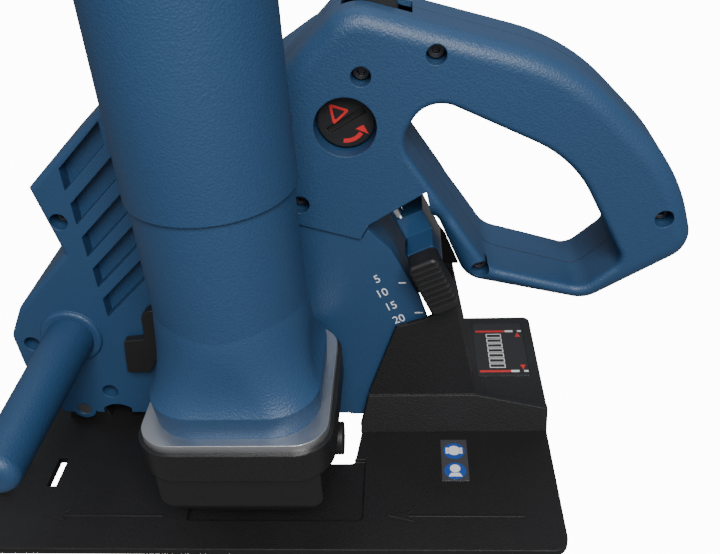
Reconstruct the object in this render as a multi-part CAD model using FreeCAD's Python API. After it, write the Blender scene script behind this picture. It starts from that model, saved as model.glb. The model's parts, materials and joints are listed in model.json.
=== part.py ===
import FreeCAD, Part
import math
import os
from FreeCAD import Vector

# Wall chaser.  Millimetres.  X runs from the plunge pivot (front) to the handle (rear), Y is the
# spindle direction with Y = 0 midway between the two cutting discs and the motor on the -Y side,
# Z is up and Z = 0 is the face of the sole that slides on the wall.

os.makedirs("parts", exist_ok=True)

# ---- driving dimensions ---------------------------------------------------------------------
# base plate
PLATE_FRONT_X = -42.0
PLATE_REAR_X = 256.5
PLATE_NEAR_Y = -132.0
PLATE_FAR_Y = 34.0
PLATE_T = 4.0
PLATE_CORNER_R = 8.0
SLOT_HALF_WIDTH = 29.0
GEAR_WINDOW_NEAR_Y = -76.0

# plunge pivot
PIVOT_Z = 14.0
PIVOT_PIN_R = 4.0
PIVOT_FIT = 0.05
PIVOT_EAR_T = 6.0
PIVOT_EAR_R = 9.0

# spindle, discs and their clamping stack
SPINDLE_X = 107.0
SPINDLE_Z = 40.0
SPINDLE_R = 8.5
ARBOR_R = 11.1
FLANGE_R = 21.0
STACK_NEAR_Y = -22.5
SPACER_T = 5.5
SPACER_COUNT = 7
SPINDLE_FIT = 0.05

# housing
FACE_Y = -47.0
PARTING_Y = -23.0
FAR_Y = 31.0
HANDLE_FAR_Y = 1.0
WALL = 3.0
GUARD_FACE_Y = -45.5
HOOD_R = 79.0
HOOD_T = 1.8
GRIP_ROUND = 9.0
OPENING_ROUND = 3.0

# motor
MOTOR_X = 107.0
MOTOR_Y = -92.0
BARREL_R = 33.0
SLEEVE_R = 34.5
BARREL_WALL = 3.0
FOOT_Z = 74.0
SEAM_Z = 177.0
SLEEVE_TOP_Z = 276.0
FLANGE_HALF = 41.5
FOOT_HALF = 38.0
FOOT_CORNER_R = 22.0
FOOT_RIM = 12.0
FLARE = 52.0
RING_HALF = 43.5
RING_BOTTOM_Z = 53.0
RING_TOP_Z = 70.0
SHAFT_R = 5.0
ARMATURE_R = 19.0
AIR_GAP = 0.6
STATOR_R = 29.5
COIL_R = 22.9

# bevel gears
CROWN_TEETH = 40
PINION_TEETH = 12
CROWN_PITCH_R = 22.0
ADDENDUM = 1.0
DEDENDUM = 1.35
TOOTH_WIDTH = 1.3
TOE_SCALE = 0.72
TOOTH_SINK = 0.3

# depth stop
ROD_R = 3.0
ROD_TILT = 24.0
ROD_FOOT_X = 200.0
ROD_FOOT_Z = 80.0
ROD_LENGTH = 98.0
ROD_NEAR_Y = -30.0
ROD_FAR_Y = -19.0
ROD_FIT = 0.08
CARRIAGE_LOW = 25.0
CARRIAGE_LENGTH = 25.0

# tower on the base plate
TOWER_FACE_Y = -49.5
TOWER_WALL = 2.4
TOWER_BACK_Y = -8.0

# front handle
HANDLE_X = 5.8
HANDLE_Z = 66.0
HANDLE_R = 12.4
HANDLE_LENGTH = 98.0
STUD_R = 4.0

# coin-slot cap, button, lever, rollers
CAP_X = 157.8
CAP_Z = 179.6
CAP_R = 12.7
CAP_DEPTH = 8.0
LOCK_BUTTON_R = 8.0
ROLLER_R = 6.0
ROLLER_LENGTH = 20.0
AXLE_R = 1.5
SCREW_RECESS_R = 4.4
SCREW_HEAD_R = 3.65
DUST_BORE_R = 17.5
DUST_LENGTH = 28.0
DUST_X = 62.0
DUST_Z = 118.0

# screws, bosses and controls
RECESS_DEPTH = 10.0
SHANK_R = 1.9
HEAD_T = 3.0
BOSS_R = 6.5
SCREW_LENGTH = 28.0
CUP_R = 13.9
CUP_FLOOR_Y = -33.6
CAP_STEM_R = 4.0
CAP_FIT = 0.05
COIN_SLOT_ANGLE = 30.0
SWITCH_X = 172.0
SWITCH_Y = -23.0
SWITCH_W = 17.0
LEVER_X = 54.0
LEVER_Z = 80.0
LEVER_T = 6.5
LEVER_PIN_R = 2.5
LOCK_Y = -92.0
LOCK_Z = SPINDLE_Z - 3.0
LOCK_FACE = 36.0

# far side of the upper housing
FAR_ROUND = 6.0
FAR_BODY = [
    (96.0, 180.0),
    (143.0, 210.0, 12.0),
    (183.5, 203.5, 8.0),
    (183.5, 141.2),
    (166.0, 130.5),
    (161.5, 122.5),
    (133.0, 131.5),
    (96.0, 131.5),
]
# lower guard
GUARD_ROUND = 3.0
GUARD_OPEN_Z = 22.0
CHEEK = [
    (160.0, 121.5),
    (161.9, 121.9),
    (165.0, 127.0),
    (176.0, 115.2),
    (189.4, 87.0),
    (199.5, 51.0),
    (202.8, 18.0),
    (202.8, 9.0),
    (150.0, 9.0),
]
POCKET_COUNT = 5
POCKET_X = 24.5
POCKET_TOP_Z = 163.0
POCKET_STEP_X = 0.9
POCKET_STEP_Z = 18.4
POCKET_HEIGHT = 11.5
POCKET_RUN = 34.0
POCKET_SHORT_RUN = 24.0
POCKET_DEPTH = 8.0

# disc hood
HOOD_NEAR_Y = -29.0
HOOD_FAR_Y = 27.0
HOOD_HOLE_R = 30.0
HOOD_CUT_Z = 6.0

# motor and gear case fits
SPIGOT_TOP_Z = 206.0
UPPER_BEARING_R = 11.0
LOWER_BEARING_R = 16.0
FLANGE_SCREW_HALF = 17.7
BEARING_Y0 = -60.0
FLANGE_SCREW_R = 2.9
SPINDLE_BEARING_R = 17.5
NEEDLE_R = 11.0
NEEDLE_BORE_R = 6.0
SHAFT_NOSE_R = 2.5
ARBOR_END_Y = 24.0
CABLE_GLAND_R = 8.0
CABLE_BORE_R = 4.0
VENT_COUNT = 16

# base details
WINDOW_FRONT_X = 46.0
WINDOW_REAR_X = 154.0
TRAY_FRONT_X = 72.0
TRAY_REAR_X = 159.5
TRAY_NEAR_Y = -115.0
TRAY_DEPTH = 2.2
SLOT_FRONT_X = 27.0
SLOT_REAR_X = 191.0
EAR_Y = (-41.0, 19.0)
ROLLERS = [(-32.0, -83.0), (-32.0, 16.0), (238.0, -32.0), (238.0, 14.0)]
ROLLER_NAMES = ["roller_front_near", "roller_front_far", "roller_rear_near", "roller_rear_far"]
SIGHT_X = -4.5
SIGHT_Y = -83.0
SIGHT_W = 5.0
SIGHT_LENGTH = 20.0
BAND_FOOT_Y = -55.0
LABEL_TOP_Z = 16.7
LABEL_X0 = 221.5
LABEL_X1 = 251.0
LABEL_Y0 = -24.0
LABEL_Y1 = 25.0
STICKER_X0 = 199.0
STICKER_X1 = 213.0
STICKER_Y0 = -90.0
STICKER_Y1 = -61.0
SPINE_T = 2.4
SPINE_Y = TOWER_BACK_Y - TOWER_WALL - SPINE_T

# depth knob
KNOB_NEAR_Y = -62.0
KNOB_FAR_Y = -50.5
KNOB_LOW = 8.0
KNOB_LENGTH = 30.5
RIB_COUNT = 8
RIB_PITCH = 3.1

# return spring round the pivot pin
SPRING_R = 6.5
SPRING_WIRE_R = 1.0
SPRING_PITCH = 3.2
SPRING_TURNS = 9
SPRING_Y = -33.0


# ---- geometry helpers -----------------------------------------------------------------------
def box(x0, y0, z0, x1, y1, z1):
    return Part.makeBox(x1 - x0, y1 - y0, z1 - z0, Vector(x0, y0, z0))


def rod_y(x, z, y0, y1, r):
    return Part.makeCylinder(r, y1 - y0, Vector(x, y0, z), Vector(0, 1, 0))


def rod_z(x, y, z0, z1, r):
    return Part.makeCylinder(r, z1 - z0, Vector(x, y, z0), Vector(0, 0, 1))


def rod_x(x0, x1, y, z, r):
    return Part.makeCylinder(r, x1 - x0, Vector(x0, y, z), Vector(1, 0, 0))


def tube_z(x, y, z0, z1, r_out, r_in):
    return rod_z(x, y, z0, z1, r_out).cut(rod_z(x, y, z0 - 1, z1 + 1, r_in))


def tube_y(x, z, y0, y1, r_out, r_in):
    return rod_y(x, z, y0, y1, r_out).cut(rod_y(x, z, y0 - 1, y1 + 1, r_in))


def wire(path, place):
    """Closed wire from corners (a, b) or (a, b, radius).  A radius rounds that corner with an arc
    tangent to both sides.  place maps (a, b) to a Vector."""
    corners = [(c[0], c[1], c[2] if len(c) > 2 else 0.0) for c in path]
    count = len(corners)
    starts = []
    ends = []
    middles = []
    for i, (a, b, r) in enumerate(corners):
        here = Vector(a, b, 0)
        before = Vector(corners[i - 1][0], corners[i - 1][1], 0).sub(here).normalize()
        after = Vector(corners[(i + 1) % count][0], corners[(i + 1) % count][1], 0).sub(here).normalize()
        half = before.getAngle(after) / 2
        cut = r / math.tan(half)
        toward = before.add(after)
        centre = here.add(toward.normalize().multiply(r / math.sin(half))) if r > 0 else here
        starts.append(here.add(Vector(before).multiply(cut)))
        ends.append(here.add(Vector(after).multiply(cut)))
        middles.append(centre.add(here.sub(centre).normalize().multiply(r)) if r > 0 else here)
    edges = []
    for i in range(count):
        p, m, q = [place(v.x, v.y) for v in (starts[i], middles[i], ends[i])]
        if corners[i][2] > 0:
            edges.append(Part.Arc(p, m, q).toShape())
        following = starts[(i + 1) % count]
        nxt = place(following.x, following.y)
        if q.distanceToPoint(nxt) > 1e-5:
            edges.append(Part.makeLine(q, nxt))
    return Part.Wire(edges)


def slab_y(path, y0, y1):
    """An XZ outline extruded from y0 to y1."""
    face = Part.Face(wire(path, lambda x, z: Vector(x, y0, z)))
    return face.extrude(Vector(0, y1 - y0, 0))


def slab_x(path, x0, x1):
    """A YZ outline extruded from x0 to x1."""
    face = Part.Face(wire(path, lambda y, z: Vector(x0, y, z)))
    return face.extrude(Vector(x1 - x0, 0, 0))


def slab_z(path, z0, z1):
    """An XY outline extruded from z0 to z1."""
    face = Part.Face(wire(path, lambda x, y: Vector(x, y, z0)))
    return face.extrude(Vector(0, 0, z1 - z0))


def inset_slab_y(path, inset, y0, y1):
    """The outline moved inwards by inset, extruded from y0 to y1."""
    outer = wire(path, lambda x, z: Vector(x, y0, z))
    inner = Part.Face(outer).makeOffset2D(-inset, 2)
    return inner.extrude(Vector(0, y1 - y0, 0))


def rounded_square(cx, cy, half, r, z0, z1):
    block = box(cx - half, cy - half, z0, cx + half, cy + half, z1)
    upright = [e for e in block.Edges if abs(e.Vertexes[0].Z - e.Vertexes[1].Z) > 1e-6]
    return block.makeFillet(r, upright)


def edges_at_y(shape, y, keep):
    """Edges that lie in the plane Y = y and whose middle passes keep(x, z)."""
    found = []
    for edge in shape.Edges:
        middle = edge.valueAt((edge.FirstParameter + edge.LastParameter) / 2)
        ends = [v.Point for v in edge.Vertexes]
        if all(abs(p.y - y) < 1e-4 for p in ends + [middle]) and keep(middle.x, middle.z):
            found.append(edge)
    return found


def along_rods(t, side=0.0):
    """A point (x, z) at distance t up the guide rods from their foot, side to the rear."""
    tilt = math.radians(ROD_TILT)
    x = ROD_FOOT_X - t * math.sin(tilt) + side * math.cos(tilt)
    z = ROD_FOOT_Z + t * math.cos(tilt) + side * math.sin(tilt)
    return (x, z)


def rod_block(t0, t1, side0, side1, y0, y1):
    """A block lined up with the guide rods."""
    corners = [along_rods(t0, side0), along_rods(t0, side1), along_rods(t1, side1), along_rods(t1, side0)]
    return slab_y(corners, y0, y1)


def guide_rod(y, r, t0, t1):
    x, z = along_rods(t0)
    tilt = math.radians(ROD_TILT)
    return Part.makeCylinder(r, t1 - t0, Vector(x, y, z), Vector(-math.sin(tilt), 0, math.cos(tilt)))


def torx_screw_y(x, z, y, length):
    """A pan-head screw whose head faces -Y with the head's top at y."""
    head = rod_y(x, z, y, y + HEAD_T, SCREW_HEAD_R)
    socket = Part.makePolygon([Vector(x + 1.9 * math.cos(math.radians(a)), y - 0.5,
                                      z + 1.9 * math.sin(math.radians(a))) for a in range(0, 361, 60)])
    head = head.cut(Part.Face(socket).extrude(Vector(0, 2.2, 0)))
    return head.fuse(rod_y(x, z, y + HEAD_T, y + length, SHANK_R))


def screw_z(x, y, z_head, length, head_r, down=True):
    """A socket-head screw along Z; the head's top is at z_head."""
    sign = -1.0 if down else 1.0
    head = rod_z(x, y, min(z_head, z_head + 3.0 * sign), max(z_head, z_head + 3.0 * sign), head_r)
    socket = rod_z(x, y, z_head - 1.6, z_head + 1.6, head_r * 0.5)
    z1 = z_head + 3.0 * sign
    z2 = z_head + length * sign
    shank = rod_z(x, y, min(z1, z2), max(z1, z2), head_r * 0.5)
    return head.cut(socket).fuse(shank)


NODES = {}


def keep(name, shape):
    NODES[name] = shape.removeSplitter() if shape.ShapeType != "Compound" else shape


def group(name, shapes):
    NODES[name] = Part.makeCompound(shapes)


# ---- outlines of the housing (X, Z) ---------------------------------------------------------
# upper housing with the D-handle, before the seam to the lower guard is cut
UPPER = [
    (60.0, 135.3),
    (160.0, 232.4, 20.0),
    (257.0, 203.0, 100.0),
    (306.5, 152.0, 100.0),
    (319.0, 112.0, 14.0),
    (271.0, 81.8, 16.0),
    (211.5, 96.5, 14.0),
    (190.5, 149.5, 8.0),
    (165.0, 60.0),
    (60.0, 60.0),
]
# what stays of it above and behind the seam
UPPER_SIDE = [
    (96.0, 260.0),
    (96.0, 131.5),
    (133.0, 131.5),
    (161.5, 122.5),
    (166.0, 130.5),
    (193.0, 147.0),
    (201.0, 100.0),
    (205.0, 50.0),
    (350.0, 50.0),
    (350.0, 260.0),
]
# finger opening of the D-handle
OPENING = [
    (181.5, 170.5, 14.0),
    (193.5, 193.0, 14.0),
    (258.0, 160.8, 60.0),
    (286.0, 107.0, 7.0),
    (268.0, 91.0, 9.0),
    (223.0, 104.5, 14.0),
]
# lower guard with the left block that carries the pockets
LOWER = [
    (133.0, 131.2),
    (161.9, 121.9),
    (165.0, 127.0),
    (170.5, 118.0),
    (178.0, 104.0),
    (189.0, 78.0, 20.0),
    (190.0, 9.0),
    (-14.0, 12.0),
    (-26.5, 45.0, 8.0),
    (-27.5, 66.0, 8.0),
    (-18.0, 84.0, 12.0),
    (14.5, 116.5),
    (6.8, 153.0),
    (53.0, 194.0, 14.0),
    (95.7, 204.0),
    (95.7, 131.2),
]
NECK_R = 27.0


UPPER_SCREWS = [(197.6, 210.5), (165.8, 202.3), (301.5, 130.0), (218.5, 104.0), (134.5, 142.0)]
LOWER_SCREWS = [(17.0, 135.0), (-17.0, 61.0), (17.8, 27.0)]


# ---- upper housing shells -------------------------------------------------------------------
def upper_block(inset, near_y, far_y, radius):
    """The upper housing with its near outer edge rounded, moved inwards by inset."""
    outer = Part.Face(wire(UPPER, lambda x, z: Vector(x, near_y, z)))
    hole = Part.Face(wire(OPENING, lambda x, z: Vector(x, near_y, z)))
    if inset > 0:
        outer = outer.makeOffset2D(-inset, 2)
        hole = hole.makeOffset2D(inset, 2)
    length = Vector(0, far_y - near_y, 0)
    block = outer.extrude(length)
    rim = edges_at_y(block, near_y, lambda x, z: x > 64 and z > 64)
    block = block.makeFillet(radius, rim).cut(hole.extrude(length))
    if inset == 0:
        block = block.makeFillet(OPENING_ROUND, opening_rim(block, near_y))
    return block.common(slab_y(UPPER_SIDE, near_y - 1, far_y + 1))


def opening_rim(block, near_y):
    """Edges of the finger opening on the rounded near side."""
    limit = near_y + GRIP_ROUND + 0.5
    rim = []
    for edge in block.Edges:
        b = edge.BoundBox
        inside = b.XMin > 180 and b.XMax < 290 and b.ZMin > 88 and b.ZMax < 192
        if inside and b.YMax < limit and b.YMax - b.YMin < 8:
            rim.append(edge)
    return rim


def bosses(spots, y0, y1, r):
    return [rod_y(x, z, y0, y1, r) for x, z in spots]


def cut_screw_seats(shell, spots, face_y):
    """Deep recess for the head and a clearance hole for the shank."""
    for x, z in spots:
        shell = shell.cut(rod_y(x, z, face_y - 1, face_y + RECESS_DEPTH, SCREW_RECESS_R))
        shell = shell.cut(rod_y(x, z, face_y, PARTING_Y + 1, SHANK_R + 0.1))
    return shell


def handle_shell_near():
    outer = upper_block(0, FACE_Y, PARTING_Y, GRIP_ROUND)
    cavity = upper_block(WALL, FACE_Y + WALL, PARTING_Y + 1, GRIP_ROUND - WALL)
    shell = outer.cut(cavity)
    cup = rod_y(CAP_X, CAP_Z, FACE_Y + 1, CUP_FLOOR_Y, CUP_R + 2.5)
    inside = [p.common(outer) for p in bosses(UPPER_SCREWS, FACE_Y + 1, PARTING_Y, BOSS_R)]
    shell = shell.multiFuse([cup] + inside)
    shell = shell.cut(rod_y(CAP_X, CAP_Z, FACE_Y - 1, CUP_FLOOR_Y - 1.5, CUP_R))
    shell = shell.cut(rod_y(CAP_X, CAP_Z, FACE_Y, PARTING_Y, CAP_STEM_R + CAP_FIT))
    shell = cut_screw_seats(shell, UPPER_SCREWS, FACE_Y)
    return shell.cut(switch_slot())


def switch_slot():
    half = SWITCH_W / 2 + 0.5
    return box(SWITCH_X - 14, SWITCH_Y - half, 205.0, SWITCH_X + 16, SWITCH_Y + half, 250.0)


def flip_to_far(shape):
    """Mirror about the parting plane."""
    return shape.mirror(Vector(0, PARTING_Y, 0), Vector(0, 1, 0))


def handle_shell_far():
    """Mirrored handle half with a closed box over the far side of the discs."""
    outer = flip_to_far(upper_block(0, FACE_Y, PARTING_Y, GRIP_ROUND))
    cover = slab_y(FAR_BODY, HANDLE_FAR_Y - GRIP_ROUND - 1, FAR_Y)
    rim = edges_at_y(cover, FAR_Y, lambda x, z: z > 158 and x > 98)
    cover = cover.makeFillet(FAR_ROUND, rim)
    cavity = flip_to_far(upper_block(WALL, FACE_Y + WALL, PARTING_Y + 1, GRIP_ROUND - WALL))
    disc_room = inset_slab_y(FAR_BODY, WALL, PARTING_Y - 1, FAR_Y - WALL)
    whole = outer.fuse(cover)
    posts = [p.common(whole) for p in bosses(UPPER_SCREWS, PARTING_Y, FAR_Y - 1, BOSS_R - 1.5)]
    shell = whole.cut(cavity).cut(disc_room).multiFuse(posts)
    for x, z in UPPER_SCREWS:
        shell = shell.cut(rod_y(x, z, PARTING_Y - 1, HANDLE_FAR_Y - 6, SHANK_R))
    return shell.cut(switch_slot())


# ---- lower guard shells ---------------------------------------------------------------------
def pocket_path(i, grow):
    """Slanted pocket number i, counted from the top of the left block."""
    left = POCKET_X + POCKET_STEP_X * i
    top = POCKET_TOP_Z - POCKET_STEP_Z * i
    run = POCKET_SHORT_RUN if i == 0 else POCKET_RUN
    slope = 0.95
    bottom = top - POCKET_HEIGHT
    return [
        (left - grow, top + grow * 0.6),
        (left + run + grow, top + run * slope + grow * 1.6),
        (left + run + grow, bottom + run * slope - grow * 0.6),
        (left - grow, bottom - grow * 1.6),
    ]


def guard_shell_near():
    outer = slab_y(LOWER, GUARD_FACE_Y, PARTING_Y)
    rim = edges_at_y(outer, GUARD_FACE_Y, lambda x, z: x < 60 and z > 14 and z < 199)
    outer = outer.makeFillet(GUARD_ROUND, rim)
    cavity = inset_slab_y(LOWER, WALL, GUARD_FACE_Y + WALL, PARTING_Y + 1)
    shell = outer.cut(cavity)
    shell = shell.cut(box(-60, GUARD_FACE_Y + WALL, -5, 187, PARTING_Y + 1, GUARD_OPEN_Z))
    cheek = slab_y(CHEEK, GUARD_FACE_Y, GUARD_FACE_Y + WALL)
    handle_boss = rod_y(HANDLE_X, HANDLE_Z, GUARD_FACE_Y - 2.0, -30.0, HANDLE_R + 4.0)
    boss_rim = [e for e in handle_boss.Edges if e.BoundBox.YMax < GUARD_FACE_Y]
    handle_boss = handle_boss.makeFillet(1.9, boss_rim)
    pivot_boss = rod_y(0, PIVOT_Z, GUARD_FACE_Y, GUARD_FACE_Y + 4.0, PIVOT_EAR_R - 2.5)
    posts = [p.common(outer) for p in bosses(LOWER_SCREWS, GUARD_FACE_Y + 1, PARTING_Y, BOSS_R)]
    pads = [slab_y(pocket_path(i, 2.0), GUARD_FACE_Y + 1, GUARD_FACE_Y + POCKET_DEPTH + 2.0).common(outer)
            for i in range(POCKET_COUNT)]
    shell = shell.multiFuse([cheek, handle_boss, pivot_boss] + posts + pads)
    for i in range(POCKET_COUNT):
        shell = shell.cut(slab_y(pocket_path(i, 0.0), GUARD_FACE_Y - 1, GUARD_FACE_Y + POCKET_DEPTH))
    shell = cut_screw_seats(shell, LOWER_SCREWS, GUARD_FACE_Y)
    shell = shell.cut(rod_y(SPINDLE_X, SPINDLE_Z, GUARD_FACE_Y - 1, PARTING_Y + 1, NECK_R))
    shell = shell.cut(rod_y(0, PIVOT_Z, GUARD_FACE_Y - 1, -30, PIVOT_PIN_R))
    shell = shell.cut(rod_y(HANDLE_X, HANDLE_Z, GUARD_FACE_Y - 3, -29, STUD_R))
    for x, r in ((3.0, 4.0), (19.0, 8.0)):
        shell = shell.cut(rod_y(x, 5.5, GUARD_FACE_Y - 1, GUARD_FACE_Y + WALL + 1, r + 4.0).common(
            box(x - r, -60, 0, x + r, 0, 5.5 + r + 4.0)).cut(rod_y(0, PIVOT_Z, -60, 0, PIVOT_EAR_R - 2.5)))
    return shell.cut(lever_hole())


def lever_hole():
    return rod_y(LEVER_X, LEVER_Z, GUARD_FACE_Y - 1, GUARD_FACE_Y + WALL + 1, LEVER_PIN_R + 0.05)


def guard_shell_far():
    outer = slab_y(LOWER, PARTING_Y, FAR_Y)
    rim = edges_at_y(outer, FAR_Y, lambda x, z: x < 60 and z > 14 and z < 199)
    outer = outer.makeFillet(GUARD_ROUND, rim)
    cavity = inset_slab_y(LOWER, WALL, PARTING_Y - 1, FAR_Y - WALL)
    shell = outer.cut(cavity).cut(box(-60, PARTING_Y - 1, -5, 187, FAR_Y - WALL, GUARD_OPEN_Z))
    posts = [p.common(outer) for p in bosses(LOWER_SCREWS, PARTING_Y, FAR_Y - 1, BOSS_R - 1.5)]
    pivot_boss = rod_y(0, PIVOT_Z, FAR_Y - 6, FAR_Y, PIVOT_EAR_R - 2.5)
    socket = rod_y(DUST_X, DUST_Z, FAR_Y - WALL, FAR_Y + DUST_LENGTH - WALL, DUST_BORE_R + 2.5)
    shell = shell.multiFuse(posts + [pivot_boss, socket])
    for x, z in LOWER_SCREWS:
        shell = shell.cut(rod_y(x, z, PARTING_Y - 1, PARTING_Y + 11, SHANK_R))
    shell = shell.cut(rod_y(0, PIVOT_Z, 20, FAR_Y + 1, PIVOT_PIN_R))
    return shell.cut(rod_y(DUST_X, DUST_Z, FAR_Y - WALL - 1, FAR_Y + DUST_LENGTH, DUST_BORE_R))


def disc_hood():
    ring = tube_y(SPINDLE_X, SPINDLE_Z, HOOD_NEAR_Y, HOOD_FAR_Y, HOOD_R, HOOD_R - HOOD_T)
    plate = tube_y(SPINDLE_X, SPINDLE_Z, HOOD_NEAR_Y, HOOD_NEAR_Y + HOOD_T, HOOD_R, HOOD_HOLE_R)
    hood = ring.fuse(plate).cut(box(0, -60, -60, 250, 60, HOOD_CUT_Z))
    window = slab_y([(DUST_X - 40, 90), (DUST_X + 6, 90), (DUST_X + 6, 140), (DUST_X - 40, 140)],
                    HOOD_NEAR_Y + 6, HOOD_FAR_Y + 1)
    return hood.cut(window)


# ---- motor ----------------------------------------------------------------------------------
def motor_section(half, r, z):
    """Rounded square round the motor axis, as a wire at height z."""
    signs = ((-1, -1), (1, -1), (1, 1), (-1, 1))
    corners = [(MOTOR_X + sx * half, MOTOR_Y + sy * half, r) for sx, sy in signs]
    return wire(corners, lambda x, y: Vector(x, y, z))


def motor_housing():
    """Round barrel that flares into a squarish foot with a crease above its rim."""
    rim_z = FOOT_Z + FOOT_RIM
    flare = Part.makeLoft([motor_section(FOOT_HALF, FOOT_CORNER_R, rim_z),
                           motor_section(FOOT_HALF - 3.0, FOOT_CORNER_R + 1, rim_z + 7),
                           motor_section(BARREL_R + 0.8, BARREL_R - 3.5, rim_z + 20),
                           motor_section(BARREL_R - 1.0, BARREL_R - 3.0, FOOT_Z + FLARE)], True, False)
    foot = Part.makeLoft([motor_section(FOOT_HALF - 0.8, FOOT_CORNER_R, FOOT_Z),
                          motor_section(FOOT_HALF, FOOT_CORNER_R, rim_z)], True, True)
    barrel = rod_z(MOTOR_X, MOTOR_Y, FOOT_Z + 5, SEAM_Z, BARREL_R)
    spigot = rod_z(MOTOR_X, MOTOR_Y, SEAM_Z - 1, SPIGOT_TOP_Z, SLEEVE_R - BARREL_WALL)
    hollow = rod_z(MOTOR_X, MOTOR_Y, FOOT_Z - 1, SPIGOT_TOP_Z + 1, BARREL_R - BARREL_WALL)
    seat = tube_z(MOTOR_X, MOTOR_Y, 190.0, 203.0, BARREL_R - BARREL_WALL + 0.5, UPPER_BEARING_R)
    arms = box(MOTOR_X - 31, MOTOR_Y - 5, 189, MOTOR_X + 31, MOTOR_Y + 5, 204)
    seat = seat.cut(tube_z(MOTOR_X, MOTOR_Y, 189, 204, 27.0, 15.0).cut(arms))
    return barrel.multiFuse([foot, flare, spigot]).cut(hollow).fuse(seat)


def sleeve():
    outer = rod_z(MOTOR_X, MOTOR_Y, SEAM_Z, SLEEVE_TOP_Z, SLEEVE_R)
    top_rim = [e for e in outer.Edges if e.BoundBox.ZMin > SLEEVE_TOP_Z - 0.1]
    outer = outer.makeFillet(9.0, top_rim)
    hollow = rod_z(MOTOR_X, MOTOR_Y, SEAM_Z - 1, SLEEVE_TOP_Z - WALL, SLEEVE_R - BARREL_WALL)
    shell = outer.cut(hollow)
    shell = shell.cut(rod_z(MOTOR_X, MOTOR_Y, SLEEVE_TOP_Z - 5, SLEEVE_TOP_Z + 1, CABLE_GLAND_R))
    for k in range(VENT_COUNT):
        angle = 360.0 * k / VENT_COUNT
        vent = box(20, -1.6, SLEEVE_TOP_Z - 16, 40, 1.6, SLEEVE_TOP_Z - 10)
        vent.rotate(Vector(0, 0, 0), Vector(0, 0, 1), angle)
        vent.translate(Vector(MOTOR_X, MOTOR_Y, 0))
        shell = shell.cut(vent)
    return shell


def corner_spots(half):
    return [(MOTOR_X + sx * half, MOTOR_Y + sy * half) for sx in (-1, 1) for sy in (-1, 1)]


def motor_flange():
    plate = rounded_square(MOTOR_X, MOTOR_Y, FLANGE_HALF, 15, RING_TOP_Z, FOOT_Z)
    plate = plate.fuse(rod_z(MOTOR_X, MOTOR_Y, RING_TOP_Z, RING_TOP_Z + 11, LOWER_BEARING_R + 3))
    plate = plate.cut(rod_z(MOTOR_X, MOTOR_Y, RING_TOP_Z + 1.5, RING_TOP_Z + 12, LOWER_BEARING_R))
    plate = plate.cut(rod_z(MOTOR_X, MOTOR_Y, RING_TOP_Z - 1, RING_TOP_Z + 2, 9.0))
    for x, y in corner_spots(FLANGE_SCREW_HALF):
        plate = plate.cut(rod_z(x, y, RING_TOP_Z - 1, FOOT_Z + 1, FLANGE_SCREW_R / 2 + 0.2))
    return plate


def gear_case():
    ring = rounded_square(MOTOR_X, MOTOR_Y, RING_HALF, 17, RING_BOTTOM_Z, RING_TOP_Z)
    rim = [e for e in ring.Edges if e.BoundBox.ZMax < RING_BOTTOM_Z + 0.1]
    ring = ring.makeFillet(3.0, rim)
    side = slab_y([(MOTOR_X - 37, 54), (MOTOR_X + 37, 54), (MOTOR_X + 37, 36, 8), (MOTOR_X + 20, 13, 10),
                   (MOTOR_X - 20, 13, 10), (MOTOR_X - 37, 36, 8)], MOTOR_Y - 38, MOTOR_Y + 30)
    front = slab_x([(MOTOR_Y - 38, 55), (MOTOR_Y + 31, 55), (MOTOR_Y + 31, 12), (MOTOR_Y - 24, 12, 12),
                    (MOTOR_Y - 38, 32, 12)], MOTOR_X - 38, MOTOR_X + 38)
    neck = rod_y(SPINDLE_X, SPINDLE_Z, MOTOR_Y + 25, -41.0, NECK_R)
    boss = rod_x(MOTOR_X + 25, MOTOR_X + LOCK_FACE + 2, LOCK_Y, LOCK_Z, LOCK_BUTTON_R + 2.0)
    case = ring.multiFuse([side.common(front), neck, boss])
    hollow = rod_y(SPINDLE_X, SPINDLE_Z, MOTOR_Y - 22, MOTOR_Y + 24, 24.5)
    shaft_well = rod_z(MOTOR_X, MOTOR_Y, SPINDLE_Z, RING_TOP_Z + 1, 14.0)
    case = case.cut(hollow).cut(shaft_well)
    case = case.cut(rod_y(SPINDLE_X, SPINDLE_Z, MOTOR_Y + 23, BEARING_Y0, 15.0))
    case = case.cut(rod_y(SPINDLE_X, SPINDLE_Z, BEARING_Y0, -40.0, SPINDLE_BEARING_R))
    case = case.cut(rod_y(SPINDLE_X, SPINDLE_Z, MOTOR_Y - 31, MOTOR_Y - 21, NEEDLE_R))
    case = case.cut(rod_x(MOTOR_X + 20, MOTOR_X + 45, LOCK_Y, LOCK_Z, 3.0 + 0.05))
    case = case.cut(rod_x(MOTOR_X + LOCK_FACE, MOTOR_X + 45, LOCK_Y, LOCK_Z, LOCK_BUTTON_R + 0.4))
    for x, y in corner_spots(FLANGE_SCREW_HALF):
        case = case.cut(rod_z(x, y, RING_TOP_Z - 9.5, RING_TOP_Z + 1, FLANGE_SCREW_R / 2))
    return case


def bevel_tooth(heel, width_root, width_tip):
    """One straight bevel tooth.  heel is ((radial, axial) root, (radial, axial) tip) at the outer
    end, the apex is the origin, radial lies along X and axial along Z."""
    (rr, ra), (tr, ta) = heel
    corners = [Vector(rr, -width_root / 2, ra), Vector(tr, -width_tip / 2, ta),
               Vector(tr, width_tip / 2, ta), Vector(rr, width_root / 2, ra)]
    outer = Part.makePolygon(corners + [corners[0]])
    inner = Part.makePolygon([Vector(p).multiply(TOE_SCALE) for p in corners + [corners[0]]])
    return Part.makeLoft([outer, inner], True, True)


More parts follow.
